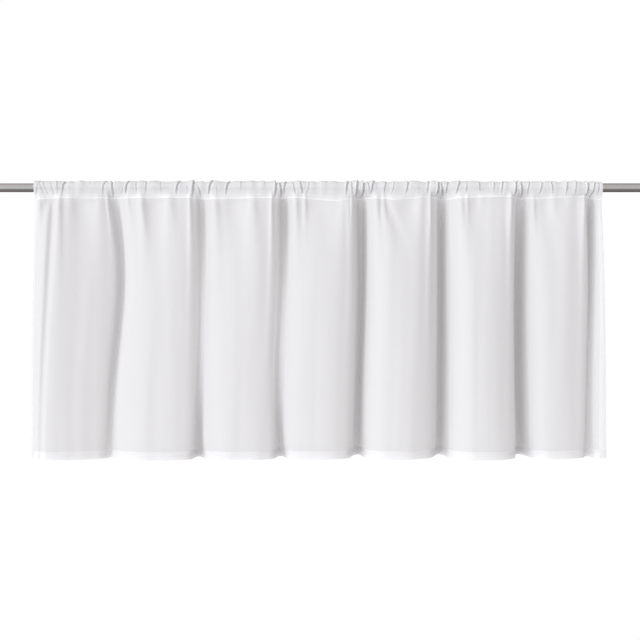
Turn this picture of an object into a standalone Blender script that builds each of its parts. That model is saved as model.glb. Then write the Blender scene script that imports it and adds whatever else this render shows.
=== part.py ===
"""Cafe curtain hanging from its rod by a rod pocket, in metres.

The origin is the middle of the rod's axis. X runs along the rod, -Y is the curtain's front and +Z is up.
The curtain is one cut of sheer cloth: its top edge is turned over the rod and sewn down as a pocket, and its
side and bottom edges are turned and sewn as hems. Gathers on the rod let out into seven deep folds.
"""

import math

import bmesh
import bpy
import numpy as np

# Driving dimensions
ROD_DIAMETER = 0.016
ROD_LENGTH = 1.2
ROD_CHAMFER = 0.0008
ROD_CHAMFER_ANGLE = math.radians(40)  # edges sharper than this get the chamfer
ROD_SHADED_ANGLE = math.radians(30)  # and edges sharper than this are shaded sharp
ROD_SEGMENTS = 32
CLOTH_THICKNESS = 0.001
HEM_THICKNESS = 0.0016
SIDE_HEM_WIDTH = 0.012
BOTTOM_HEM_WIDTH = 0.015
POCKET_RADIUS = 0.0094  # the cloth's middle layer round the rod
SEAM_Z = -0.0205  # the stitch line that closes the pocket
HEM_Z = -0.485  # the bottom edge
DROP = SEAM_Z - HEM_Z

# How the folds open out below the seam
ARCH_AT_SEAM = 0.38  # share of an arch's depth at the seam
ARCH_GROWTH = 0.075  # length over which the arches deepen
ARCH_START = 1.4  # how gently they start to: 1 is at once
CHANNEL_AT_SEAM = 0.1  # share of a valley's depth at the seam
CHANNEL_GROWTH = 0.016  # length over which the valleys deepen
CHANNEL_START = 1.0  # how gently they start to
CHANNEL_SQUARENESS = 5  # how square the valleys are: 2 is a round bowl
HEM_SPREAD = 0.45  # share by which the stiff hem holds the valleys wider
HEM_SPREAD_HEIGHT = 0.025  # how far up that reaches
GATHER_FADE = 1.3  # a gather fades over this many of its own widths
GATHER_AT_SEAM = 0.45  # share of a gather's height that the stitches leave
SEAM_BLEND = 0.35  # share of each leaf of the pocket that bends towards the seam

# Rows and columns of the mesh
POCKET_ARC_STEPS = 6
POCKET_LEAF_STEPS = 2
BODY_DEPTHS = (0.0, 0.012, 0.03, 0.06, 0.11, 0.19, 0.3, 0.4, DROP - BOTTOM_HEM_WIDTH, DROP)  # below the seam
COLUMN_SPACING = 0.0128  # along the cloth at the bottom hem
ARC_SAMPLES = 4000
MERGE_DISTANCE = 0.00001  # between the thickened sheet's points

# Where the valleys between the folds run: x at the seam, half way down and at the hem, and how far they sway
# to one side above the middle and to the other below it. Each is a channel of these depths behind y_rim, where
# the folds beside it end at the hem, with walls of these lengths.
VALLEYS = (
    # x_seam, x_middle, x_hem, sway, y_rim,
    # depth_seam, depth_middle, depth_hem, left_wall, right_wall
    (-0.5120, -0.5160, -0.5170, 0.000, -0.008, 0.000, 0.000, 0.000, 0.010, 0.010),
    (-0.3710, -0.3610, -0.3750, 0.007, -0.007, 0.010, 0.010, 0.004, 0.006, 0.008),
    (-0.2155, -0.2130, -0.2195, 0.001, -0.015, 0.021, 0.001, 0.025, 0.005, 0.008),
    (-0.0675, -0.0720, -0.0730, 0.003, -0.008, 0.030, 0.003, 0.024, 0.005, 0.008),
    (0.0740, 0.0740, 0.0690, 0.001, 0.013, 0.025, 0.025, 0.022, 0.008, 0.006),
    (0.2200, 0.2210, 0.2190, 0.000, 0.016, 0.025, 0.026, 0.024, 0.007, 0.006),
    (0.3625, 0.3610, 0.3650, 0.000, 0.007, 0.021, 0.036, 0.032, 0.008, 0.007),
    (0.4880, 0.4870, 0.4830, 0.001, 0.002, 0.030, 0.010, 0.010, 0.005, 0.005),
    (0.5060, 0.5100, 0.5115, 0.000, -0.012, 0.000, 0.000, 0.000, 0.010, 0.010),
)

# The arch of the fold after each of those valleys: y of its crest at the hem, the share of its width where
# the crest is, and how square its left and right flanks are
FOLDS = (
    # y_crest, crest_at, left_power, right_power
    (-0.036, 0.22, 2.0, 2.4),
    (-0.038, 0.46, 2.1, 3.8),
    (-0.033, 0.46, 2.3, 3.8),
    (-0.028, 0.44, 2.4, 3.2),
    (-0.029, 0.38, 2.1, 3.0),
    (-0.038, 0.38, 2.3, 2.8),
    (-0.023, 0.38, 2.1, 2.6),
    (-0.012, 0.92, 1.6, 2.0),
)

# The creases in the gathered pocket, and how far the cloth puffs out from the rod before the next crease
GATHERS = (
    # x_crease, puff
    (-0.5120, 0.0016),
    (-0.4640, 0.0034),
    (-0.4440, 0.0026),
    (-0.3890, 0.0030),
    (-0.3700, 0.0030),
    (-0.3470, 0.0034),
    (-0.3150, 0.0020),
    (-0.2880, 0.0022),
    (-0.2570, 0.0032),
    (-0.2300, 0.0028),
    (-0.2165, 0.0032),
    (-0.1990, 0.0030),
    (-0.1660, 0.0022),
    (-0.1420, 0.0026),
    (-0.1100, 0.0028),
    (-0.0704, 0.0030),
    (-0.0530, 0.0034),
    (-0.0320, 0.0020),
    (-0.0090, 0.0012),
    (0.0470, 0.0030),
    (0.0704, 0.0034),
    (0.0900, 0.0034),
    (0.1230, 0.0024),
    (0.1570, 0.0022),
    (0.1780, 0.0028),
    (0.1980, 0.0034),
    (0.2165, 0.0034),
    (0.2310, 0.0030),
    (0.2480, 0.0022),
    (0.2880, 0.0022),
    (0.3130, 0.0024),
    (0.3330, 0.0032),
    (0.3575, 0.0034),
    (0.3980, 0.0028),
    (0.4185, 0.0022),
    (0.4430, 0.0026),
    (0.4838, 0.0030),
    (0.5060, 0.0),
)

CLOTH_COLOUR = (0.86, 0.86, 0.88, 1.0)
STEEL_COLOUR = (0.55, 0.54, 0.52, 1.0)
CLOTH_ROUGHNESS = 0.9
STEEL_ROUGHNESS = 0.35


def column(table, index):
    """One column of a table, as an array."""
    return np.array([row[index] for row in table])


def place_of(x_seam):
    """A point's place among the valleys: 2.5 is half way between the third and the fourth."""
    return np.interp(x_seam, column(VALLEYS, 0), np.arange(len(VALLEYS)))


def down_the_drop(first, down):
    """Three columns of VALLEYS, from first on, are values at the seam, half way down and at the hem: the value
    of every valley where down is 0 at the seam and 1 at the hem."""
    weights = ((1 - down) * (1 - 2 * down), 4 * down * (1 - down), down * (2 * down - 1))
    return sum(weight * column(VALLEYS, first + k) for k, weight in enumerate(weights))


def valleys_x(down):
    """x of every valley."""
    return down_the_drop(0, down) + column(VALLEYS, 3) * math.sin(2 * math.pi * down)


def fold_x(place, down):
    """x of the cloth, down being 0 at the seam and 1 at the hem."""
    return np.interp(place, np.arange(len(VALLEYS)), valleys_x(down))


def arch_y(place):
    """y of the folds' arches at the hem, without the valleys between them."""
    index = np.clip(place.astype(int), 0, len(FOLDS) - 1)
    share = np.clip(place - index, 0.0, 1.0)
    crest, crest_at, left_power, right_power = (column(FOLDS, k)[index] for k in range(4))
    rim = column(VALLEYS, 4)
    left = (rim[index] - crest) * np.abs(1 - share / crest_at) ** left_power
    right = (rim[index + 1] - crest) * np.clip((share - crest_at) / (1 - crest_at), 0.0, 1.0) ** right_power
    return crest + np.where(share < crest_at, left, right)


def channels_y(xs, down):
    """How far back the valleys reach at each x."""
    centres, depths = valleys_x(down), down_the_drop(5, down)
    spread = 1 + HEM_SPREAD * math.exp(-(((1 - down) * DROP / HEM_SPREAD_HEIGHT) ** 2))
    depth = np.zeros_like(xs)
    for centre, deep, left_wall, right_wall in zip(centres, depths, column(VALLEYS, 8), column(VALLEYS, 9)):
        walls = spread * np.where(xs < centre, left_wall, right_wall)
        depth += deep / (1 + np.abs((xs - centre) / walls) ** CHANNEL_SQUARENESS)
    return depth


def grown(depth, at_seam, growth, start):
    """How far a fold has opened at a depth below the seam: at_seam there, and nearly 1 at the hem."""
    return at_seam + (1 - at_seam) * (1 - math.exp(-((depth / growth) ** start)))


def gathers(x_seam):
    """How far the pocket puffs out at each column, and the width of the gather that the column is in."""
    crease, puff = column(GATHERS, 0), column(GATHERS, 1)
    index = np.clip(np.searchsorted(crease, x_seam, side="right") - 1, 0, len(crease) - 2)
    width = crease[index + 1] - crease[index]
    return puff[index] * np.sin(math.pi * (x_seam - crease[index]) / width), width


def cloth_columns():
    """x at the seam of every column of the mesh. Each gather has a whole number of them, evenly spaced along
    the cloth at the bottom hem, and the two nearest to the side hems' inner edges lie on those edges."""
    fine = np.linspace(GATHERS[0][0], GATHERS[-1][0], ARC_SAMPLES)
    x = fold_x(place_of(fine), 1.0)
    step = np.hypot(np.diff(x), np.diff(arch_y(place_of(fine)) + channels_y(x, 1.0)))
    along = np.concatenate([[0.0], np.cumsum(step)])
    creases = np.interp(column(GATHERS, 0), fine, along)
    stops = [creases[:1]]
    for start, end in zip(creases, creases[1:]):
        steps = max(2, round((end - start) / COLUMN_SPACING))
        stops.append(np.linspace(start, end, steps + 1)[1:])
    xs = np.interp(np.concatenate(stops), along, fine)
    for inner_edge in (xs[0] + SIDE_HEM_WIDTH, xs[-1] - SIDE_HEM_WIDTH):
        xs[np.argmin(np.abs(xs - inner_edge))] = inner_edge
    return xs


def body_row(xs, depth):
    """The points of the cloth at one depth below the seam."""
    place = place_of(xs)
    puff, width = gathers(xs)
    gathered = puff * GATHER_AT_SEAM * np.exp(-depth / (GATHER_FADE * width))
    x = fold_x(place, depth / DROP)
    arches = arch_y(place) * grown(depth, ARCH_AT_SEAM, ARCH_GROWTH, ARCH_START)
    channels = channels_y(x, depth / DROP) * grown(depth, CHANNEL_AT_SEAM, CHANNEL_GROWTH, CHANNEL_START)
    return np.column_stack([x, arches + channels - gathered, np.full(len(xs), SEAM_Z - depth)])


def pocket_path():
    """The pocket's section round the rod, from the seam up the front, over the rod and down the back to the
    seam: y, z, the outward y and z there, and how much of the seam's own shape is left, for each row."""
    turn = math.acos(POCKET_RADIUS / -SEAM_Z)  # where each leaf leaves the rod, from straight down
    leaves = []
    for side in (-1, 1):
        out_y, out_z = side * math.sin(turn), -math.cos(turn)
        leaf = []
        for step in range(POCKET_LEAF_STEPS):
            share = step / POCKET_LEAF_STEPS
            y, z = share * POCKET_RADIUS * out_y, SEAM_Z + share * (POCKET_RADIUS * out_z - SEAM_Z)
            leaf.append((y, z, out_y, out_z, max(0.0, 1 - share / SEAM_BLEND) ** 2))
        leaves.append(leaf)
    arc = []
    for step in range(POCKET_ARC_STEPS + 1):
        angle = -turn - 2 * (math.pi - turn) * step / POCKET_ARC_STEPS
        out_y, out_z = math.sin(angle), -math.cos(angle)
        arc.append((POCKET_RADIUS * out_y, POCKET_RADIUS * out_z, out_y, out_z, 0.0))
    return leaves[0] + arc + leaves[1][::-1]


def pocket_rows(xs):
    """The points of the pocket row by row, between the seam and the seam."""
    seam = body_row(xs, 0.0)
    puff, _ = gathers(xs)
    rows = []
    for y, z, out_y, out_z, held in pocket_path()[1:-1]:
        out = puff * (1 - held)
        rows.append(np.column_stack([seam[:, 0], y + out_y * out + held * seam[:, 1], z + out_z * out]))
    return rows


def grid_faces(rows):
    """Quads between neighbouring rows of vertex numbers."""
    faces = []
    for low, high in zip(rows, rows[1:]):
        faces += [(low[k], low[k + 1], high[k + 1], high[k]) for k in range(len(low) - 1)]
    return faces


def make_curtain():
    """The curtain: a sheet along the middle of the cloth, lofted through its rows from the hem up and round
    the rod, then thickened. The body and both leaves of the pocket meet on the seam's row."""
    xs = cloth_columns()
    body = [body_row(xs, depth) for depth in reversed(BODY_DEPTHS)]
    rows = body + pocket_rows(xs)
    numbers = [list(range(k * len(xs), (k + 1) * len(xs))) for k in range(len(rows))]
    seam = len(body) - 1
    pocket = [*numbers[seam:], numbers[seam]]
    mesh = bpy.data.meshes.new("curtain")
    points = [tuple(point) for row in rows for point in row.tolist()]
    mesh.from_pydata(points, [], grid_faces(numbers[: seam + 1]) + grid_faces(pocket))
    curtain = bpy.data.objects.new("curtain", mesh)

    hems = curtain.vertex_groups.new(name="hems")
    bottom = [number for row in numbers[:2] for number in row]
    sides = [number for row in numbers[2:] for number in (row[0], row[1], row[-2], row[-1])]
    hems.add(bottom + sides, 1.0, "REPLACE")
    thick = curtain.modifiers.new("thickness", "SOLIDIFY")
    thick.solidify_mode = "NON_MANIFOLD"
    thick.nonmanifold_thickness_mode = "CONSTRAINTS"
    thick.nonmanifold_merge_threshold = MERGE_DISTANCE
    thick.thickness = HEM_THICKNESS
    thick.vertex_group = "hems"
    thick.thickness_vertex_group = CLOTH_THICKNESS / HEM_THICKNESS
    thick.offset = 0.0
    return curtain


def make_rod():
    """The rod: a plain round bar with a small chamfer round each flat end."""
    mesh = bpy.data.meshes.new("rod")
    shape = bmesh.new()
    bmesh.ops.create_cone(
        shape,
        cap_ends=True,
        segments=ROD_SEGMENTS,
        radius1=ROD_DIAMETER / 2,
        radius2=ROD_DIAMETER / 2,
        depth=ROD_LENGTH,
    )
    shape.to_mesh(mesh)
    shape.free()
    rod = bpy.data.objects.new("rod", mesh)
    rod.rotation_euler = (0.0, math.pi / 2, 0.0)
    chamfer = rod.modifiers.new("chamfer", "BEVEL")
    chamfer.width = ROD_CHAMFER
    chamfer.segments = 1
    chamfer.limit_method = "ANGLE"
    chamfer.angle_limit = ROD_CHAMFER_ANGLE
    return rod


def material(name, colour, roughness, metallic):
    """A plain Principled material."""
    made = bpy.data.materials.new(name)
    made.use_nodes = True
    shader = made.node_tree.nodes["Principled BSDF"]
    shader.inputs["Base Color"].default_value = colour
    shader.inputs["Roughness"].default_value = roughness
    shader.inputs["Metallic"].default_value = metallic
    return made


def main():
    for old in list(bpy.data.objects):
        bpy.data.objects.remove(old)
    group = bpy.data.collections.new("cafe_curtain")
    bpy.context.scene.collection.children.link(group)
    curtain, rod = make_curtain(), make_rod()
    curtain.data.materials.append(material("voile", CLOTH_COLOUR, CLOTH_ROUGHNESS, 0.0))
    rod.data.materials.append(material("steel", STEEL_COLOUR, STEEL_ROUGHNESS, 1.0))
    for piece in (curtain, rod):
        group.objects.link(piece)
        piece.data.shade_smooth()
    rod.data.set_sharp_from_angle(angle=ROD_SHADED_ANGLE)


main()
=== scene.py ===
"""The looks of a cafe curtain on its rod: a gathered white voile panel with a rod pocket and stitched hems.

Everything is in metres in the frame of the CAD model: the origin is the middle of the rod's axis, X runs
along the rod, -Y is the curtain's front and +Z is up.
"""

import math

import bpy
import numpy as np
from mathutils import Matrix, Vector, noise


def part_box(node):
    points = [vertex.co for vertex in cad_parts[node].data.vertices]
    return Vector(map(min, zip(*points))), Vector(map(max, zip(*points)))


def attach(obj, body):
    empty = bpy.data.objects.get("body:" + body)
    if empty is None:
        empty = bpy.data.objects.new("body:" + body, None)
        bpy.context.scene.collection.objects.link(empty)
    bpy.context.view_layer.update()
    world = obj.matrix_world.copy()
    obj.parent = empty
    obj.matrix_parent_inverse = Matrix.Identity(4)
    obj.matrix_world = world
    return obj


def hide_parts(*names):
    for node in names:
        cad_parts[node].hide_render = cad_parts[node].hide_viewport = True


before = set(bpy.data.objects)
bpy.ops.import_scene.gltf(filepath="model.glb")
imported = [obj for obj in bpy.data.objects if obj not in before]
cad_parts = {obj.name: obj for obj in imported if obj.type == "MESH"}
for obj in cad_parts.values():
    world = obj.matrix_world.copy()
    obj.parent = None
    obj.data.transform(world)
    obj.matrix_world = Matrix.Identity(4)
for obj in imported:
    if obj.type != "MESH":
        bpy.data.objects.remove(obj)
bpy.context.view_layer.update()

# ---------------------------------------------------------------- sizes
rod_low, rod_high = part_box("rod")
ROD_RADIUS = (rod_high.z - rod_low.z) / 2
SEAM_Z = -0.0205  # the stitch line that closes the pocket
HEM_Z = -0.485  # the bottom edge
DROP = SEAM_Z - HEM_Z
SIDE_HEM = 0.012
BOTTOM_HEM = 0.015
HEM_TURNING = 0.010  # turned in again behind each hem
POCKET_TURNING = 0.012  # turned in between the pocket's leaves
TURNED_IN_SLOPE = 0.03  # how fast that turning leaves the rear leaf
LAYER_GAP = 0.00028  # from one layer of cloth to the next in a hem
CORNER_STACK = 0.8  # how much thicker each side hem's layer makes the bottom hem's layers in a corner
NORMAL_REACH = 0.0004  # the cloth's slope is taken this far to either side of a point
POCKET_RADIUS = ROD_RADIUS + 0.0007  # the cloth round the rod, in a crease
PUFF = 0.0030  # how far it stands off the rod between the creases
POCKET_TURN = math.acos(POCKET_RADIUS / -SEAM_Z)  # where each leaf leaves the rod, from straight down
LEAF = math.sqrt(SEAM_Z**2 - POCKET_RADIUS**2)
ARC = 2 * (math.pi - POCKET_TURN) * POCKET_RADIUS

# How the folds open out below the seam
ARCH_AT_SEAM = 0.38  # share of an arch's depth at the seam
ARCH_GROWTH = 0.075  # length over which the arches deepen
ARCH_START = 1.4  # how gently they start to: 1 is at once
CHANNEL_AT_SEAM = 0.10  # share of a valley's depth at the seam
CHANNEL_GROWTH = 0.016  # length over which the valleys deepen
CHANNEL_START = 1.0  # how gently they start to
CHANNEL_SQUARENESS = 5  # how square the valleys are: 2 is a round bowl
HEM_SPREAD = 0.45  # share by which the stiff hem holds the valleys wider
HEM_SPREAD_HEIGHT = 0.025  # how far up that reaches

# The mesh
COLUMNS = 920
STEEP_SHARE = 0.3  # how strongly the columns crowd where the folds are steep: 0 is not at all
HEM_STEP = 0.003  # across a hem's hidden layers
EDGE_STEP = 0.002  # across the side hems' front layer
ARC_SAMPLES = 12000

# Where the valleys between the folds run: x at the seam, half way down and at the hem, and how far they sway
# to one side above the middle and to the other below it. Each is a channel of these depths, with walls of
# these lengths, behind y_rim, where the folds beside it end at the hem.
VALLEYS = (
    # x_seam, x_middle, x_hem, sway, y_rim,
    # depth_seam, depth_middle, depth_hem, left_wall, right_wall
    (-0.5120, -0.5160, -0.5170, 0.000, -0.008, 0.000, 0.000, 0.000, 0.010, 0.010),
    (-0.3710, -0.3610, -0.3750, 0.007, -0.007, 0.010, 0.010, 0.004, 0.006, 0.008),
    (-0.2155, -0.2130, -0.2195, 0.001, -0.015, 0.021, 0.001, 0.025, 0.005, 0.008),
    (-0.0675, -0.0720, -0.0730, 0.003, -0.008, 0.030, 0.003, 0.024, 0.005, 0.008),
    (0.0740, 0.0740, 0.0690, 0.001, 0.013, 0.025, 0.025, 0.022, 0.008, 0.006),
    (0.2200, 0.2210, 0.2190, 0.000, 0.016, 0.025, 0.026, 0.024, 0.007, 0.006),
    (0.3625, 0.3610, 0.3650, 0.000, 0.007, 0.021, 0.036, 0.032, 0.008, 0.007),
    (0.4880, 0.4870, 0.4830, 0.001, 0.002, 0.030, 0.010, 0.010, 0.005, 0.005),
    (0.5060, 0.5100, 0.5115, 0.000, -0.012, 0.000, 0.000, 0.000, 0.010, 0.010),
)

# The arch of the fold after each of those valleys: y of its crest at the hem, the share of its width where
# the crest is, and how square its left and right flanks are
FOLDS = (
    # y_crest, crest_at, left_power, right_power
    (-0.036, 0.22, 2.0, 2.4),
    (-0.038, 0.46, 2.1, 3.8),
    (-0.033, 0.46, 2.3, 3.8),
    (-0.028, 0.44, 2.4, 3.2),
    (-0.029, 0.38, 2.1, 3.0),
    (-0.038, 0.38, 2.3, 2.8),
    (-0.023, 0.38, 2.1, 2.6),
    (-0.012, 0.92, 1.6, 2.0),
)

# The creases that the gathers press into the pocket. Each runs up it at x, leans and bends by these lengths,
# and is there from one height to another, in shares of the pocket's front: 0 at the seam and 1 at the top.
CREASES = (
    # x, lean, bend, low, high, depth
    (-0.5060, 0.0100, 0.0000, 0.30, 1.10, 0.0016),
    (-0.4980, -0.0160, 0.0010, 0.00, 0.80, 0.0020),
    (-0.4900, -0.0180, 0.0000, 0.10, 1.00, 0.0016),
    (-0.4770, -0.0140, -0.0010, 0.00, 0.90, 0.0018),
    (-0.4700, -0.0030, 0.0010, 0.00, 1.30, 0.0024),
    (-0.4570, 0.0023, -0.0030, 0.28, 1.40, 0.0040),
    (-0.4480, 0.0020, 0.0010, 0.28, 0.60, 0.0017),
    (-0.4130, 0.0030, 0.0010, 0.80, 1.60, 0.0018),
    (-0.3840, 0.0032, -0.0040, 0.30, 1.50, 0.0030),
    (-0.3720, -0.0030, 0.0010, 0.00, 1.50, 0.0042),
    (-0.3560, 0.0080, 0.0030, 0.28, 0.60, 0.0020),
    (-0.3420, 0.0018, -0.0050, 0.28, 1.50, 0.0048),
    (-0.3290, -0.0020, 0.0010, 0.28, 1.20, 0.0023),
    (-0.3120, 0.0020, 0.0010, 0.28, 1.30, 0.0026),
    (-0.2850, -0.0030, 0.0010, 0.28, 1.20, 0.0017),
    (-0.2510, 0.0023, -0.0050, 0.28, 1.50, 0.0043),
    (-0.2390, -0.0030, 0.0020, 0.28, 0.80, 0.0020),
    (-0.2260, 0.0020, -0.0010, 0.00, 1.50, 0.0060),
    (-0.2160, -0.0100, 0.0000, 0.00, 0.60, 0.0044),
    (-0.1930, 0.0032, -0.0050, 0.28, 1.50, 0.0051),
    (-0.1860, -0.0040, 0.0020, 0.28, 0.60, 0.0020),
    (-0.1630, 0.0045, -0.0040, 0.28, 1.50, 0.0046),
    (-0.1420, 0.0030, 0.0010, 0.50, 1.50, 0.0020),
    (-0.1240, -0.0060, 0.0000, 0.28, 0.50, 0.0014),
    (-0.1000, 0.0020, 0.0010, 0.70, 1.40, 0.0016),
    (-0.0790, 0.0020, 0.0000, 0.00, 1.50, 0.0056),
    (-0.0720, -0.0040, 0.0020, 0.00, 1.30, 0.0050),
    (-0.0600, 0.0020, -0.0040, 0.28, 1.50, 0.0043),
    (-0.0470, -0.0080, 0.0020, 0.28, 1.20, 0.0026),
    (-0.0330, -0.0080, 0.0010, 0.28, 1.40, 0.0043),
    (-0.0230, 0.0080, 0.0020, 0.28, 1.10, 0.0023),
    (0.0030, 0.0050, 0.0010, 0.75, 1.50, 0.0016),
    (0.0240, -0.0080, 0.0000, 0.70, 1.30, 0.0013),
    (0.0510, 0.0018, -0.0030, 0.28, 1.50, 0.0050),
    (0.0560, -0.0020, 0.0020, 0.28, 1.30, 0.0029),
    (0.0680, 0.0040, -0.0020, 0.00, 1.50, 0.0058),
    (0.0770, 0.0040, 0.0010, 0.00, 1.20, 0.0056),
    (0.0880, -0.0080, 0.0010, 0.28, 1.40, 0.0029),
    (0.0970, 0.0045, -0.0040, 0.28, 1.50, 0.0049),
    (0.1190, 0.0036, -0.0030, 0.28, 1.10, 0.0030),
    (0.1290, 0.0100, 0.0020, 0.30, 1.40, 0.0023),
    (0.1550, 0.0080, 0.0010, 0.35, 1.50, 0.0042),
    (0.1780, -0.0040, 0.0000, 0.28, 0.50, 0.0017),
    (0.1960, 0.0027, -0.0030, 0.28, 1.50, 0.0032),
    (0.2100, 0.0040, 0.0020, 0.00, 1.50, 0.0060),
    (0.2190, -0.0060, 0.0000, 0.00, 1.20, 0.0056),
    (0.2310, 0.0027, -0.0040, 0.28, 1.40, 0.0029),
    (0.2480, 0.0110, -0.0020, 0.28, 1.50, 0.0043),
    (0.2605, 0.0060, 0.0020, 0.28, 0.80, 0.0032),
    (0.2857, -0.0030, 0.0010, 0.40, 1.50, 0.0034),
    (0.3105, 0.0050, 0.0010, 0.45, 1.40, 0.0034),
    (0.3290, 0.0023, -0.0030, 0.28, 1.50, 0.0038),
    (0.3500, 0.0020, 0.0010, 0.00, 1.50, 0.0060),
    (0.3610, -0.0050, 0.0010, 0.00, 1.30, 0.0056),
    (0.3760, 0.0036, -0.0030, 0.28, 1.40, 0.0029),
    (0.3947, 0.0100, 0.0010, 0.28, 1.30, 0.0038),
    (0.4160, -0.0050, 0.0010, 0.35, 1.50, 0.0044),
    (0.4411, 0.0040, 0.0010, 0.35, 1.50, 0.0046),
    (0.4608, 0.0023, -0.0030, 0.28, 1.10, 0.0034),
    (0.4790, 0.0020, 0.0010, 0.00, 1.50, 0.0060),
    (0.4900, 0.0080, 0.0000, 0.00, 1.20, 0.0040),
    (0.4980, 0.0060, 0.0010, 0.28, 1.40, 0.0020),
)
CREASE_FADE = 0.07  # over this share of the pocket's height, at either end
CREASE_DEPTH = 0.68  # share of the table's depths
CREASE_WIDTH = 0.0005  # half width of the shallowest, on its steep left side
CREASE_WIDENING = 0.07  # further half width for each metre of depth
CREASE_SKEW = 2.2  # how much wider the right side is
CREASE_SHARPNESS = 1.6
CREASE_LIMIT = 1.15  # the deepest that creases press in, as a share of PUFF
LIP_AT, LIP_WIDTH = 2.6, 1.6  # where the lip on a crease's left is and how wide, in its half widths
LIP_HEIGHT = 0.45  # share of the crease's depth

# The pocket's cloth also swells unevenly from place to place, in waves whose spacing drifts
SWELLS = (
    # per metre, drift, drifts per metre
    (97.0, 1.7, 31.0),
    (233.0, 2.0, 57.0),
)
SWELL = 0.0006
CROWN_SWELL = 0.0008  # more of it at the pocket's top
CROWN_REACH = 0.45  # share of the pocket's height

# How far the seam rises above its level line along the curtain, where the gathers pull it
SEAM_LIFT = (
    # x, lift
    (-0.5150, -0.0010),
    (-0.4680, 0.0012),
    (-0.3750, 0.0020),
    (-0.3050, 0.0012),
    (-0.2330, 0.0022),
    (-0.2010, -0.0008),
    (-0.1600, 0.0006),
    (-0.0870, 0.0020),
    (-0.0360, 0.0024),
    (0.0000, -0.0014),
    (0.0300, -0.0044),
    (0.0540, 0.0006),
    (0.0820, 0.0022),
    (0.1160, 0.0010),
    (0.1300, -0.0012),
    (0.1620, 0.0010),
    (0.1970, 0.0052),
    (0.2240, 0.0000),
    (0.2580, 0.0016),
    (0.3430, 0.0046),
    (0.3650, 0.0014),
    (0.4200, 0.0022),
    (0.4750, 0.0056),
    (0.4880, 0.0020),
    (0.5085, -0.0020),
)
LIFT_REACH = 0.030  # below the seam

# The ridges, and with a height below 0 the hollows, that the gathers send down the cloth from the seam. Each
# drifts sideways by its lean on the way to the hem, and fades over its length.
RIDGES = (
    # x, lean, half_width, height, length
    (-0.5020, 0.0000, 0.0045, 0.0050, 0.060),
    (-0.4860, 0.0000, 0.0060, -0.0060, 0.022),
    (-0.4653, 0.0000, 0.0045, 0.0056, 0.110),
    (-0.4464, 0.0000, 0.0060, 0.0024, 0.030),
    (-0.3936, 0.0000, 0.0090, 0.0056, 0.060),
    (-0.3812, 0.0000, 0.0030, 0.0056, 0.060),
    (-0.3442, 0.0000, 0.0030, 0.0026, 0.030),
    (-0.3194, 0.0000, 0.0060, 0.0072, 0.070),
    (-0.2692, 0.0000, 0.0080, 0.0056, 0.055),
    (-0.2323, 0.0000, 0.0028, 0.0060, 0.060),
    (-0.1888, 0.0000, 0.0070, 0.0058, 0.070),
    (-0.1212, 0.0000, 0.0080, 0.0053, 0.055),
    (-0.0862, 0.0000, 0.0030, 0.0060, 0.060),
    (-0.0444, 0.0000, 0.0060, 0.0067, 0.070),
    (-0.0272, 0.0000, 0.0030, 0.0040, 0.035),
    (0.0440, 0.0000, 0.0100, 0.0053, 0.060),
    (0.0576, 0.0000, 0.0026, 0.0056, 0.045),
    (0.0996, 0.0000, 0.0060, 0.0072, 0.070),
    (0.1140, 0.0000, 0.0034, 0.0044, 0.035),
    (0.1800, 0.0000, 0.0100, 0.0056, 0.060),
    (0.1977, 0.0000, 0.0028, 0.0066, 0.060),
    (0.2492, 0.0000, 0.0070, 0.0062, 0.070),
    (0.2628, 0.0000, 0.0030, 0.0030, 0.035),
    (0.2886, 0.0000, 0.0060, 0.0028, 0.035),
    (0.3424, 0.0000, 0.0040, 0.0060, 0.050),
    (0.3810, 0.0000, 0.0050, 0.0052, 0.060),
    (0.4166, 0.0000, 0.0060, 0.0026, 0.035),
    (0.4482, 0.0000, 0.0070, 0.0020, 0.035),
    (0.4738, 0.0000, 0.0030, 0.0050, 0.050),
    (-0.4770, -0.0110, 0.0050, -0.0048, 1.500),
    (-0.4290, 0.0100, 0.0130, -0.0050, 0.100),
    (-0.2980, 0.0100, 0.0140, -0.0050, 0.080),
    (-0.1540, 0.0200, 0.0140, -0.0050, 0.090),
    (-0.0060, 0.0600, 0.0200, -0.0050, 0.070),
    (0.1150, 0.1700, 0.0070, -0.0045, 0.060),
    (0.1620, 0.0300, 0.0180, -0.0045, 0.050),
    (0.2830, 0.0000, 0.0150, -0.0050, 0.090),
    (0.4040, 0.0400, 0.0120, -0.0050, 0.090),
    (-0.2335, 0.0030, 0.0060, 0.0026, 0.400),
    (-0.0870, 0.0050, 0.0060, 0.0026, 0.400),
    (0.0530, 0.0000, 0.0055, 0.0034, 0.300),
    (0.1950, 0.0000, 0.0055, 0.0034, 0.300),
    (0.3400, 0.0000, 0.0055, 0.0034, 0.300),
    (0.4700, 0.0000, 0.0055, 0.0026, 0.300),
)
RIDGE_SQUARENESS = 2.4  # across: 2 is a plain bump
RIDGE_FADE = 1.3  # down: 1 starts to fade at once
RIDGE_AT_SEAM = 0.45  # share of a ridge's height that the stitches leave
RIDGE_GROWTH = 0.012  # length over which it reaches the rest

# Small uneven undulations that run down the cloth
UNDULATIONS = (
    # per metre across, per metre down, seed, depth
    (22.0, 2.2, 0.3, 0.0022),
    (60.0, 5.0, 7.1, 0.0007),
)
UNDULATION_FADE = 0.02  # towards the seam

# The grooves that the stitches pull the cloth into
GROOVE_DEPTH = 0.0004
GROOVE_WIDTH = 0.0015
GROOVE_INSET = 0.001  # from a hem's inner edge
SEAM_EASE = 0.0016  # the pocket's seam is pulled as little as cloth this far from a stitch line


def column(table, index):
    """One column of a table, as an array."""
    return np.array([row[index] for row in table])


# ---------------------------------------------------------------- the cloth's shape
def place_of(x_seam):
    """A point's place among the valleys: 2.5 is half way between the third and the fourth."""
    return np.interp(x_seam, column(VALLEYS, 0), np.arange(len(VALLEYS)))


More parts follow.
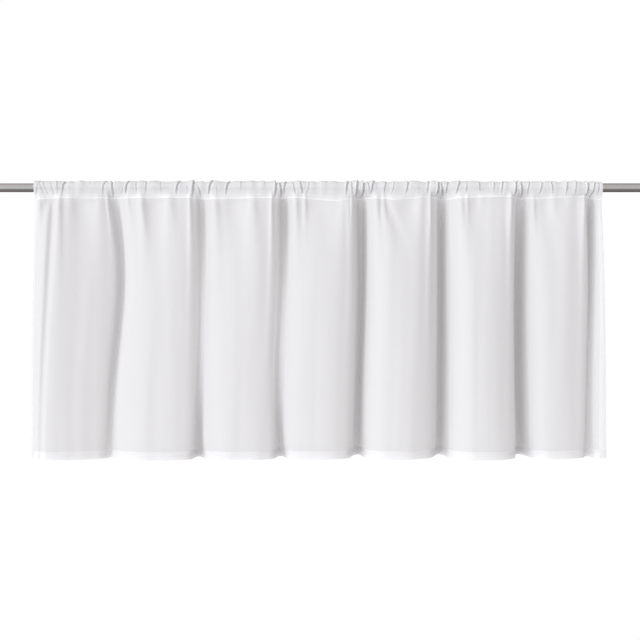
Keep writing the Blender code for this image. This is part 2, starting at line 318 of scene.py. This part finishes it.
def down_the_drop(first, index, down):
    """Three columns of VALLEYS, from first on, are values at the seam, half way down and at the hem: the
    value of the valleys at index, where down is 0 at the seam and 1 at the hem."""
    weights = ((1 - down) * (1 - 2 * down), 4 * down * (1 - down), down * (2 * down - 1))
    return sum(weight * column(VALLEYS, first + k)[index] for k, weight in enumerate(weights))


def valley_x(index, down):
    """x of the valleys at index."""
    return down_the_drop(0, index, down) + column(VALLEYS, 3)[index] * np.sin(2 * math.pi * down)


def fold_x(place, down):
    """x at a place among the valleys."""
    index = np.clip(place.astype(int), 0, len(VALLEYS) - 2)
    share = place - index
    return (1 - share) * valley_x(index, down) + share * valley_x(index + 1, down)


def arch_y(place):
    """y of the folds' arches at the hem, without the valleys between them."""
    index = np.clip(place.astype(int), 0, len(FOLDS) - 1)
    share = np.clip(place - index, 0.0, 1.0)
    crest, crest_at, left_power, right_power = (column(FOLDS, k)[index] for k in range(4))
    rim = column(VALLEYS, 4)
    left = (rim[index] - crest) * np.abs(1 - share / crest_at) ** left_power
    right = (rim[index + 1] - crest) * np.clip((share - crest_at) / (1 - crest_at), 0.0, 1.0) ** right_power
    return crest + np.where(share < crest_at, left, right)


def grown(depth, at_seam, growth, start):
    """How far a fold has opened at a depth below the seam: at_seam there, and nearly 1 at the hem."""
    return at_seam + (1 - at_seam) * (1 - np.exp(-((np.maximum(depth, 0) / growth) ** start)))


def channels_y(x, down):
    """How far back the valleys reach at x."""
    depth = 0.0
    spread = 1 + HEM_SPREAD * np.exp(-(((1 - down) * DROP / HEM_SPREAD_HEIGHT) ** 2))
    for index in range(1, len(VALLEYS) - 1):
        away = (x - valley_x(index, down)) / spread
        wall = np.where(away < 0, VALLEYS[index][8], VALLEYS[index][9])
        depth = depth + down_the_drop(5, index, down) / (1 + np.abs(away / wall) ** CHANNEL_SQUARENESS)
    return depth


def pocket_creases(x, height):
    """How far the creases press the pocket's cloth in, and the lips beside them lift it. height is 0 at the
    seam, 1 at the pocket's top and 2 at the seam behind."""
    pressed = np.zeros_like(x)
    for at, lean, bend, low, high, depth in CREASES:
        away = x - at - lean * (height - 0.5) - bend * (1 - (2 * height - 1) ** 2)
        there = 1 / (1 + np.exp((low - height) / CREASE_FADE)) / (1 + np.exp((height - high) / CREASE_FADE))
        half_width = CREASE_WIDTH + CREASE_WIDENING * depth
        side = np.where(away < 0, half_width, CREASE_SKEW * half_width)
        groove = np.exp(-np.abs(away / side) ** CREASE_SHARPNESS)
        lip = np.exp(-(((away / half_width + LIP_AT) / LIP_WIDTH) ** 2))
        pressed = pressed + CREASE_DEPTH * depth * there * (groove - LIP_HEIGHT * lip)
    return pressed


def pocket_puff(x, height):
    """How far the pocket's cloth stands off the rod."""
    waves = [np.sin(x * often + drift * np.sin(x * drifts)) for often, drift, drifts in SWELLS]
    swell = sum(waves) / len(waves)
    crown = np.exp(-(((height - 1.0) / CROWN_REACH) ** 2))
    pressed = np.minimum(pocket_creases(x, height), PUFF * CREASE_LIMIT)
    return PUFF + swell * (SWELL + CROWN_SWELL * crown) - pressed


def ridge_y(x_seam, depth):
    """How far the gathers' ridges stand forward below the seam. Each widens as it runs down."""
    forward = 0.0
    for at, lean, half_width, height, length in RIDGES:
        spread = half_width * (1 + depth / (2 * length))
        bump = np.exp(-np.abs((x_seam - at - lean * depth / DROP) / spread) ** RIDGE_SQUARENESS)
        forward = forward + height * bump * np.exp(-((depth / length) ** RIDGE_FADE))
    return forward * (RIDGE_AT_SEAM + (1 - RIDGE_AT_SEAM) * np.clip(depth / RIDGE_GROWTH, 0, 1))


def seam_lift(x_seam, share):
    """How far the seam's line is above its level, of which share is left."""
    return np.interp(x_seam, column(SEAM_LIFT, 0), column(SEAM_LIFT, 1)) * share


def undulations(across, depth):
    """How far the cloth undulates at a place across it and a depth below the seam."""
    places = list(zip(across.ravel().tolist(), depth.ravel().tolist()))
    made = 0.0
    for per_across, per_down, seed, height in UNDULATIONS:
        waves = [noise.noise(Vector((x * per_across, down * per_down, seed))) for x, down in places]
        made = made + height * np.array(waves)
    return made.reshape(across.shape) * np.clip(depth / UNDULATION_FADE, 0, 1)


def body_point(x_seam, depth):
    """The cloth's point at a depth below the seam."""
    place, down = place_of(x_seam), depth / DROP
    x = fold_x(place, down)
    arch = arch_y(place) * grown(depth, ARCH_AT_SEAM, ARCH_GROWTH, ARCH_START)
    channel = channels_y(x, down) * grown(depth, CHANNEL_AT_SEAM, CHANNEL_GROWTH, CHANNEL_START)
    z = SEAM_Z - depth + seam_lift(x_seam, np.exp(-np.maximum(depth, 0) / LIFT_REACH))
    return np.stack([x, arch + channel - ridge_y(x_seam, depth), z], axis=-1)


def pocket_point(x_seam, along):
    """The cloth's point in the pocket, along being how far round it is from the seam at the front."""
    seam = body_point(x_seam, np.zeros_like(along))
    round_it = 2 * LEAF + ARC
    inside = np.maximum(along - round_it, 0)  # the turning, back up inside the rear leaf
    at = np.where(along > round_it, round_it - inside, along)
    on_leaf = (at < LEAF) | (at > LEAF + ARC)
    leaf = np.where(at < LEAF, at, round_it - at) / LEAF
    angle = POCKET_TURN + (np.clip(at - LEAF, 0, ARC) / ARC) * 2 * (math.pi - POCKET_TURN)
    out_y, out_z = -np.sin(angle), -np.cos(angle)
    radius = np.where(on_leaf, leaf, 1.0) * POCKET_RADIUS
    stitched = np.where(on_leaf, (1 - leaf) ** 2, 0.0)
    height = at / round_it * 2
    turned_in = -LAYER_GAP - TURNED_IN_SLOPE * inside
    puff = np.where(along > round_it, turned_in, pocket_puff(x_seam, height) * (1 - stitched))
    y = radius * out_y + out_y * puff + np.where(on_leaf, 1 - leaf, 0.0) * seam[..., 1]
    z = np.where(on_leaf, (1 - leaf) * SEAM_Z, 0.0) + radius * out_z + out_z * puff
    z = z + seam_lift(x_seam, np.where(on_leaf, (1 - leaf) ** 1.5, 0.0))
    return np.stack([seam[..., 0], y, z], axis=-1)


def surface_point(across, up):
    """The cloth's point for the flat cut's coordinates, with all the hems' layers on the front one. across is
    from the left edge and up is from the bottom edge, both along the cloth."""
    x_seam = np.interp(across, hem_length, hem_xs)
    body = body_point(x_seam, np.maximum(DROP - up, 0))
    pocket = pocket_point(x_seam, np.maximum(up - DROP, 0))
    return np.where((up > DROP)[..., None], pocket, body)


def arc_length():
    """x at the seam of fine samples across the cloth, and how far along the bottom hem each one is."""
    xs = np.linspace(VALLEYS[0][0], VALLEYS[-1][0], ARC_SAMPLES)
    hem = body_point(xs, np.full_like(xs, DROP))
    step = np.linalg.norm(np.diff(hem[:, :2], axis=0), axis=1)
    return xs, np.concatenate([[0.0], np.cumsum(step)])


hem_xs, hem_length = arc_length()
WIDTH = float(hem_length[-1])
HEIGHT = DROP + 2 * LEAF + ARC


def hem_fold(flat, edge, hem, turning, sign):
    """Where a point of a twice-turned hem lands, and its layer. flat is the cut's coordinate and edge is the
    finished edge; past it the cloth turns back over hem, then turns in again. turning is not used."""
    past = np.maximum(sign * (flat - edge), 0)
    landed = np.where(past < hem, past, np.maximum(2 * hem - past, 0))
    layer = np.where(past <= 0, 0.0, np.where(past < hem, 2.0, 1.0))
    return np.where(past > 0, edge - sign * landed, flat), layer


def spaced(start, end, step):
    """Evenly spaced stops from start up to, and without, end."""
    count = max(1, round((end - start) / step))
    return np.linspace(start, end, count, endpoint=False)


def cut_rows():
    """The flat cut's rows, from the raw edge behind the bottom hem to the raw edge inside the pocket: close
    where there are stitches and creases, wide where the cloth hangs straight and at the back."""
    front_leaf = DROP + LEAF
    rear_leaf = front_leaf + ARC
    runs = (
        # from, step
        (-BOTTOM_HEM - HEM_TURNING, 0.0048),
        (-BOTTOM_HEM, HEM_STEP),
        (0.0, 0.0021),
        (BOTTOM_HEM + 0.002, 0.016),
        (DROP - 0.11, 0.005),
        (DROP - 0.03, 0.0021),
        (DROP, 0.0015),
        (front_leaf, 0.0013),
        (front_leaf + 0.6 * ARC, 0.0026),
        (rear_leaf, 0.004),
        (HEIGHT, 0.006),
        (HEIGHT + POCKET_TURNING, 0.0),
    )
    stops = [spaced(start, end, step) for (start, step), (end, _) in zip(runs, runs[1:])]
    return np.concatenate(stops + [[HEIGHT + POCKET_TURNING]])


def cut_columns():
    """The flat cut's columns, from one raw side edge to the other: even along the seam, closer where the
    folds are steep."""
    density = np.gradient(hem_length, hem_xs) ** STEEP_SHARE
    share = np.concatenate([[0.0], np.cumsum((density[1:] + density[:-1]) * np.diff(hem_xs) / 2)])
    inner = np.interp(np.linspace(0, share[-1], COLUMNS), share, hem_length)
    clear = SIDE_HEM + EDGE_STEP / 2
    inner = inner[(inner > clear) & (inner < WIDTH - clear)]
    return np.concatenate(
        [
            spaced(-SIDE_HEM - HEM_TURNING, 0.0, HEM_STEP),
            spaced(0.0, SIDE_HEM, EDGE_STEP),
            [SIDE_HEM],
            inner,
            spaced(WIDTH - SIDE_HEM, WIDTH, EDGE_STEP),
            spaced(WIDTH, WIDTH + SIDE_HEM + HEM_TURNING, HEM_STEP),
            [WIDTH + SIDE_HEM + HEM_TURNING],
        ]
    )


def hem_groove(across, up):
    """How far the stitches of the hems and of the pocket's seam pull the cloth in."""
    away = (
        np.abs(up - BOTTOM_HEM + GROOVE_INSET),
        np.abs(up - DROP) + SEAM_EASE,
        np.abs(across - SIDE_HEM + GROOVE_INSET),
        np.abs(WIDTH - across - SIDE_HEM + GROOVE_INSET),
    )
    return sum(GROOVE_DEPTH * np.exp(-((line / GROOVE_WIDTH) ** 2)) for line in away)


def cloth_points(across, up):
    """Every point of the cloth for the cut's coordinates, hems turned."""
    a, layer_left = hem_fold(across, 0.0, SIDE_HEM, HEM_TURNING, -1)
    a, layer_right = hem_fold(a, WIDTH, SIDE_HEM, HEM_TURNING, 1)
    u, layer_bottom = hem_fold(up, 0.0, BOTTOM_HEM, HEM_TURNING, -1)
    left, right = np.clip(a - NORMAL_REACH, 0, WIDTH), np.clip(a + NORMAL_REACH, 0, WIDTH)
    over = surface_point(right, u) - surface_point(left, u)
    rise = surface_point(a, u + NORMAL_REACH) - surface_point(a, np.maximum(u - NORMAL_REACH, 0))
    normal = np.cross(over, rise)
    normal /= np.linalg.norm(normal, axis=-1, keepdims=True)
    side = layer_left + layer_right
    layer = side + layer_bottom * (1 + side * CORNER_STACK)
    inward = layer * LAYER_GAP + hem_groove(a, u) + undulations(a, DROP - u)
    return surface_point(a, u) - normal * inward[..., None]


def make_cloth():
    """The curtain's voile: one sheet from its flat cut."""
    columns, rows = cut_columns(), cut_rows()
    across, up = np.meshgrid(columns, rows)
    points = cloth_points(across, up)
    count = len(columns)
    start = (np.arange(len(rows) - 1)[:, None] * count + np.arange(count - 1)).ravel()
    faces = np.stack([start, start + 1, start + 1 + count, start + count], axis=1)
    mesh = bpy.data.meshes.new("voile_panel")
    mesh.from_pydata(points.reshape(-1, 3).tolist(), [], faces.tolist())
    flat = mesh.attributes.new("cut", "FLOAT_VECTOR", "POINT")
    places = np.stack([across, up, np.zeros_like(up)], axis=-1)
    flat.data.foreach_set("vector", places.astype(np.float32).ravel())
    mesh.shade_smooth()
    on_edge = np.isin(across, (0.0, WIDTH)).ravel(), (up == 0.0).ravel()
    ends = np.array([edge.vertices[:] for edge in mesh.edges])
    sharp = np.logical_or(*(on[ends[:, 0]] & on[ends[:, 1]] for on in on_edge))
    mesh.attributes.new("sharp_edge", "BOOLEAN", "EDGE").data.foreach_set("value", sharp)
    cloth = bpy.data.objects.new("voile_panel", mesh)
    bpy.context.scene.collection.objects.link(cloth)
    return cloth


# ---------------------------------------------------------------- materials
class Nodes:
    """The node tree of a material or a world, with short ways to add and join its nodes."""

    def __init__(self, owner):
        self.owner = owner
        owner.use_nodes = True
        self.tree = owner.node_tree
        self.tree.nodes.clear()

    def add(self, kind, **settings):
        made = self.tree.nodes.new("ShaderNode" + kind)
        for key, value in settings.items():
            setattr(made, key, value)
        return made

    def join(self, source, target):
        self.tree.links.new(source, target)

    def maths(self, operation, first, second=0.0):
        made = self.add("Math", operation=operation)
        for socket, value in zip(made.inputs, (first, second)):
            if hasattr(value, "is_output"):
                self.join(value, socket)
            else:
                socket.default_value = value
        return made.outputs[0]

    def noise(self, vector, scale, detail=2.0):
        mapping = self.add("Mapping")
        mapping.inputs["Scale"].default_value = scale
        self.join(vector, mapping.inputs["Vector"])
        made = self.add("TexNoise")
        made.inputs["Scale"].default_value = 1.0
        made.inputs["Detail"].default_value = detail
        self.join(mapping.outputs[0], made.inputs["Vector"])
        return made.outputs["Fac"]

    def ramp(self, value, low, high, start=0.0, end=1.0, **settings):
        """value turned into low at start, high at end and what is between them on the way."""
        made = self.add("MapRange", **settings)
        limits = (("From Min", start), ("From Max", end), ("To Min", low), ("To Max", high))
        for name, limit in limits:
            made.inputs[name].default_value = limit
        self.join(value, made.inputs["Value"])
        return made.outputs[0]

    def colours(self, value, *stops):
        """value turned into a colour between two stops, each a position and a colour."""
        made = self.add("ValToRGB")
        for element, (position, colour) in zip(made.color_ramp.elements, stops):
            element.position = position
            element.color = colour
        self.join(value, made.inputs["Fac"])
        return made.outputs["Color"]

    def bump(self, height, strength, distance):
        made = self.add("Bump")
        made.inputs["Strength"].default_value = strength
        made.inputs["Distance"].default_value = distance
        self.join(height, made.inputs["Height"])
        return made.outputs[0]


# The voile's colours: of its thin and thick threads, and painted light: brightness painted where it lies
# double (hems, pocket), on the band above the seam and as a highlight along the seam
THIN_THREAD = (0.532, 0.522, 0.525, 1)
THICK_THREAD = (0.544, 0.534, 0.537, 1)
# painted brightness of the hems' and the pocket's layered cloth, brighter copies of the threads' colour
HEM_PAINTED_BRIGHTNESS = (0.668, 0.658, 0.661, 1)
POCKET_PAINTED_BRIGHTNESS = (0.632, 0.622, 0.624, 1)
# painted light on the band just above the seam, lifting the shade where the cloth turns down under the rod
BAND_PAINTED_LIGHT = (0.735, 0.725, 0.727, 1)
# painted highlight along the pocket's seam line, and its half width
SEAM_PAINTED_HIGHLIGHT = (0.755, 0.745, 0.746, 1)
SEAM_HIGHLIGHT_HALF_WIDTH = 0.0012

# Shares of the light that the voile lets straight through
THIN_OPEN, THICK_OPEN = 0.142, 0.120  # of its thin and thick threads
POCKET_OPEN = 0.45  # of that, in the pocket
HEM_BACK_OPEN = 0.5  # of each turned layer behind the bottom hem
GLOW_SHARE = 0.3  # share of the rest that goes through it diffusely

# How many threads and slubs there are in a metre of the voile, across it and up it
WARP_SCALE = (750, 42, 1)
WEFT_SCALE = (38, 700, 1)

# The rod's colours, its least and greatest roughness, and how many brush marks and clouds there are in a
# metre, along it and across it
STEEL_DARK = (0.285, 0.278, 0.265, 1)
STEEL_PALE = (0.365, 0.357, 0.340, 1)
STEEL_ROUGHNESS = (0.08, 0.20)
BRUSH_SCALE = (30, 2600, 2600)
CLOUD_SCALE = (9, 60, 60)


def voile():
    """Sheer white plain weave with slubs in both directions, with painted brightness where it lies double and
    painted light at the pocket's seam.
    """
    n = Nodes(bpy.data.materials.new("voile"))
    cut = n.add("Attribute", attribute_name="cut").outputs["Vector"]
    split = n.add("SeparateXYZ")
    n.join(cut, split.inputs[0])
    across, up = split.outputs["X"], split.outputs["Y"]
    warp, weft = n.noise(cut, WARP_SCALE), n.noise(cut, WEFT_SCALE)
    slub = n.maths("MULTIPLY", n.maths("ADD", warp, weft), 0.5)
    white = n.colours(slub, (0.36, THIN_THREAD), (0.64, THICK_THREAD))

    hems = n.maths("LESS_THAN", up, BOTTOM_HEM)
    hems = n.maths("MAXIMUM", hems, n.maths("LESS_THAN", across, SIDE_HEM))
    hems = n.maths("MAXIMUM", hems, n.maths("GREATER_THAN", across, WIDTH - SIDE_HEM))
    pocket = n.maths("GREATER_THAN", up, DROP)
    # painted light band: brightest at the seam, fading out over the pocket's turning above it
    above_seam = n.maths("DIVIDE", n.maths("SUBTRACT", up, DROP), POCKET_TURNING)
    band = n.maths("MULTIPLY", pocket, n.maths("MAXIMUM", n.maths("SUBTRACT", 1.0, above_seam), 0.0))
    # painted highlight: a narrow line either side of the seam
    seam = n.maths("COMPARE", up, DROP)
    seam.node.inputs[2].default_value = SEAM_HIGHLIGHT_HALF_WIDTH
    # painted light: each mask lays a brighter copy of the voile's colour over the threads' colour
    for place, shade in ((hems, HEM_PAINTED_BRIGHTNESS), (pocket, POCKET_PAINTED_BRIGHTNESS), (band, BAND_PAINTED_LIGHT), (seam, SEAM_PAINTED_HIGHLIGHT)):
        painted_light_mix = n.add("Mix", data_type="RGBA")
        first, second = painted_light_mix.inputs[6], painted_light_mix.inputs[7]  # the sockets of its colours
        n.join(place, painted_light_mix.inputs["Factor"])
        n.join(white, first)
        second.default_value = shade
        white = painted_light_mix.outputs[2]

    body = n.add("BsdfPrincipled")
    body.inputs["Roughness"].default_value = 0.9
    body.inputs["Specular IOR Level"].default_value = 0.15
    body.inputs["Sheen Weight"].default_value = 0.1
    n.join(white, body.inputs["Base Color"])
    n.join(n.bump(slub, 0.07, 0.0002), body.inputs["Normal"])

    glow = n.add("BsdfTranslucent")
    n.join(white, glow.inputs["Color"])
    lit = n.add("MixShader")
    lit.inputs[0].default_value = GLOW_SHARE
    n.join(body.outputs[0], lit.inputs[1])
    n.join(glow.outputs[0], lit.inputs[2])

    clear = n.add("BsdfTransparent")
    sheer = n.add("MixShader")
    open_share = n.maths("MULTIPLY", n.ramp(slub, THIN_OPEN, THICK_OPEN), n.ramp(pocket, 1.0, POCKET_OPEN))
    turned = n.maths("LESS_THAN", up, 0.0)
    open_share = n.maths("MAXIMUM", open_share, n.maths("MULTIPLY", turned, HEM_BACK_OPEN))
    n.join(open_share, sheer.inputs[0])
    n.join(lit.outputs[0], sheer.inputs[1])
    n.join(clear.outputs[0], sheer.inputs[2])
    n.join(sheer.outputs[0], n.add("OutputMaterial").inputs["Surface"])
    return n.owner


def brushed_steel():
    """Satin steel with fine brushing along the rod."""
    n = Nodes(bpy.data.materials.new("brushed_steel"))
    place = n.add("TexCoord").outputs["Object"]
    grain, cloud = n.noise(place, BRUSH_SCALE, 4.0), n.noise(place, CLOUD_SCALE)
    steel = n.add("BsdfPrincipled")
    steel.inputs["Metallic"].default_value = 1.0
    n.join(n.colours(grain, (0.3, STEEL_DARK), (0.7, STEEL_PALE)), steel.inputs["Base Color"])
    mixed = n.maths("MULTIPLY", n.maths("ADD", grain, cloud), 0.5)
    n.join(n.ramp(mixed, *STEEL_ROUGHNESS), steel.inputs["Roughness"])
    n.join(n.bump(grain, 0.15, 0.0001), steel.inputs["Normal"])
    n.join(steel.outputs[0], n.add("OutputMaterial").inputs["Surface"])
    return n.owner


# ---------------------------------------------------------------- studio
CAMERA_DISTANCE = 1.6
CAMERA_Z = -0.238
BACKDROP_STRENGTH = 1.02
KEY_FROM = (-2.3, -1.8, 0.4)
KEY_STRENGTH = 2.8
KEY_SPREAD = math.radians(70)
DAYLIGHT = (0.935, 0.96, 1.0)  # the light's colour on its bright side
SHADE = (1.0, 0.95, 0.93)  # and on its dark side
SKY_FROM = (-0.36, -0.88, 0.08)  # where the soft light is strongest
SKY_DARK, SKY_BRIGHT = 0.47, 1.64  # its strength on the far side and there
SKY_SPAN = (-0.9, 1.0)  # of the cosine to there, over which it brightens
GROUND_SHARE = 0.46  # of that strength, below the horizon
HORIZON = (-0.64, -0.40)  # z of the directions between which it dims
FLOOR_Z = -1.25
FLOOR_RADIUS = 1.15
FLOOR_SIDES = 96
FLOOR_COLOUR = (0.86, 0.86, 0.87, 1)
FLOOR_FADE = 0.55  # share of the radius where it starts to fade into the backdrop


def make_camera():
    """Straight on, level with the middle of the curtain's drop."""
    data = bpy.data.cameras.new("camera")
    data.lens = 50
    data.sensor_width = 36
    camera = bpy.data.objects.new("camera", data)
    camera.location = (0, -CAMERA_DISTANCE, CAMERA_Z)
    camera.rotation_euler = (math.pi / 2, 0, 0)
    bpy.context.scene.collection.objects.link(camera)
    bpy.context.scene.camera = camera


def make_key_light():
    """A very broad soft light from the front left, even over the whole width."""
    data = bpy.data.lights.new("key", "SUN")
    data.energy = KEY_STRENGTH
    data.angle = KEY_SPREAD
    data.color = DAYLIGHT
    lamp = bpy.data.objects.new("key", data)
    lamp.location = KEY_FROM
    lamp.visible_glossy = False
    lamp.rotation_euler = (-Vector(KEY_FROM)).to_track_quat("-Z", "Y").to_euler()
    bpy.context.scene.collection.objects.link(lamp)


def make_world():
    """White all round for the eye, and a soft light that is strongest from the front left."""
    world = bpy.data.worlds.new("studio")
    n = Nodes(world)
    way = n.add("TexCoord").outputs["Generated"]
    facing = n.add("VectorMath", operation="DOT_PRODUCT")
    facing.inputs[1].default_value = Vector(SKY_FROM).normalized()
    n.join(way, facing.inputs[0])
    towards = facing.outputs["Value"]
    level = n.ramp(towards, SKY_DARK, SKY_BRIGHT, *SKY_SPAN)
    split = n.add("SeparateXYZ")
    n.join(way, split.inputs[0])
    above = n.ramp(split.outputs["Z"], GROUND_SHARE, 1.0, *HORIZON, interpolation_type="SMOOTHSTEP")
    soft = n.add("Background")
    n.join(n.colours(towards, (0.0, (*SHADE, 1)), (1.0, (*DAYLIGHT, 1))), soft.inputs["Color"])
    n.join(n.maths("MULTIPLY", level, above), soft.inputs["Strength"])
    white = n.add("Background")
    white.inputs["Color"].default_value = (1, 1, 1, 1)
    white.inputs["Strength"].default_value = BACKDROP_STRENGTH
    pick = n.add("MixShader")
    n.join(n.add("LightPath").outputs["Is Camera Ray"], pick.inputs[0])
    n.join(soft.outputs[0], pick.inputs[1])
    n.join(white.outputs[0], pick.inputs[2])
    n.join(pick.outputs[0], n.add("OutputWorld").inputs["Surface"])
    bpy.context.scene.world = world


def make_floor():
    """A plain pale round floor, faded out towards its rim."""
    mesh = bpy.data.meshes.new("floor")
    turns = [2 * math.pi * k / FLOOR_SIDES for k in range(FLOOR_SIDES)]
    rim = [(FLOOR_RADIUS * math.cos(turn), FLOOR_RADIUS * math.sin(turn), FLOOR_Z) for turn in turns]
    mesh.from_pydata(rim, [], [range(FLOOR_SIDES)])
    floor = bpy.data.objects.new("floor", mesh)
    bpy.context.scene.collection.objects.link(floor)
    n = Nodes(bpy.data.materials.new("pale_floor"))
    place = n.add("TexCoord").outputs["Object"]
    flat = n.add("Mapping")
    flat.inputs["Scale"].default_value = (1 / FLOOR_RADIUS, 1 / FLOOR_RADIUS, 0)
    n.join(place, flat.inputs["Vector"])
    away = n.add("VectorMath", operation="LENGTH")
    n.join(flat.outputs[0], away.inputs[0])
    pale = n.add("BsdfDiffuse")
    pale.inputs["Color"].default_value = FLOOR_COLOUR
    white = n.add("Emission")
    white.inputs["Strength"].default_value = BACKDROP_STRENGTH
    fade = n.add("MixShader")
    edge = n.ramp(away.outputs["Value"], 0.0, 1.0, FLOOR_FADE, 1.0, interpolation_type="SMOOTHSTEP")
    n.join(edge, fade.inputs[0])
    n.join(pale.outputs[0], fade.inputs[1])
    n.join(white.outputs[0], fade.inputs[2])
    n.join(fade.outputs[0], n.add("OutputMaterial").inputs["Surface"])
    mesh.materials.append(n.owner)
    floor.visible_glossy = False


# ---------------------------------------------------------------- the scene
make_camera()
make_world()
make_floor()
make_key_light()

cloth = make_cloth()
cloth.data.materials.append(voile())
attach(cloth, "root")
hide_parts("curtain")

rod = bpy.data.objects["rod"]
rod.material_slots[0].material = brushed_steel()

bpy.context.scene.view_settings.view_transform = "Standard"
bpy.context.scene.view_settings.look = "None"
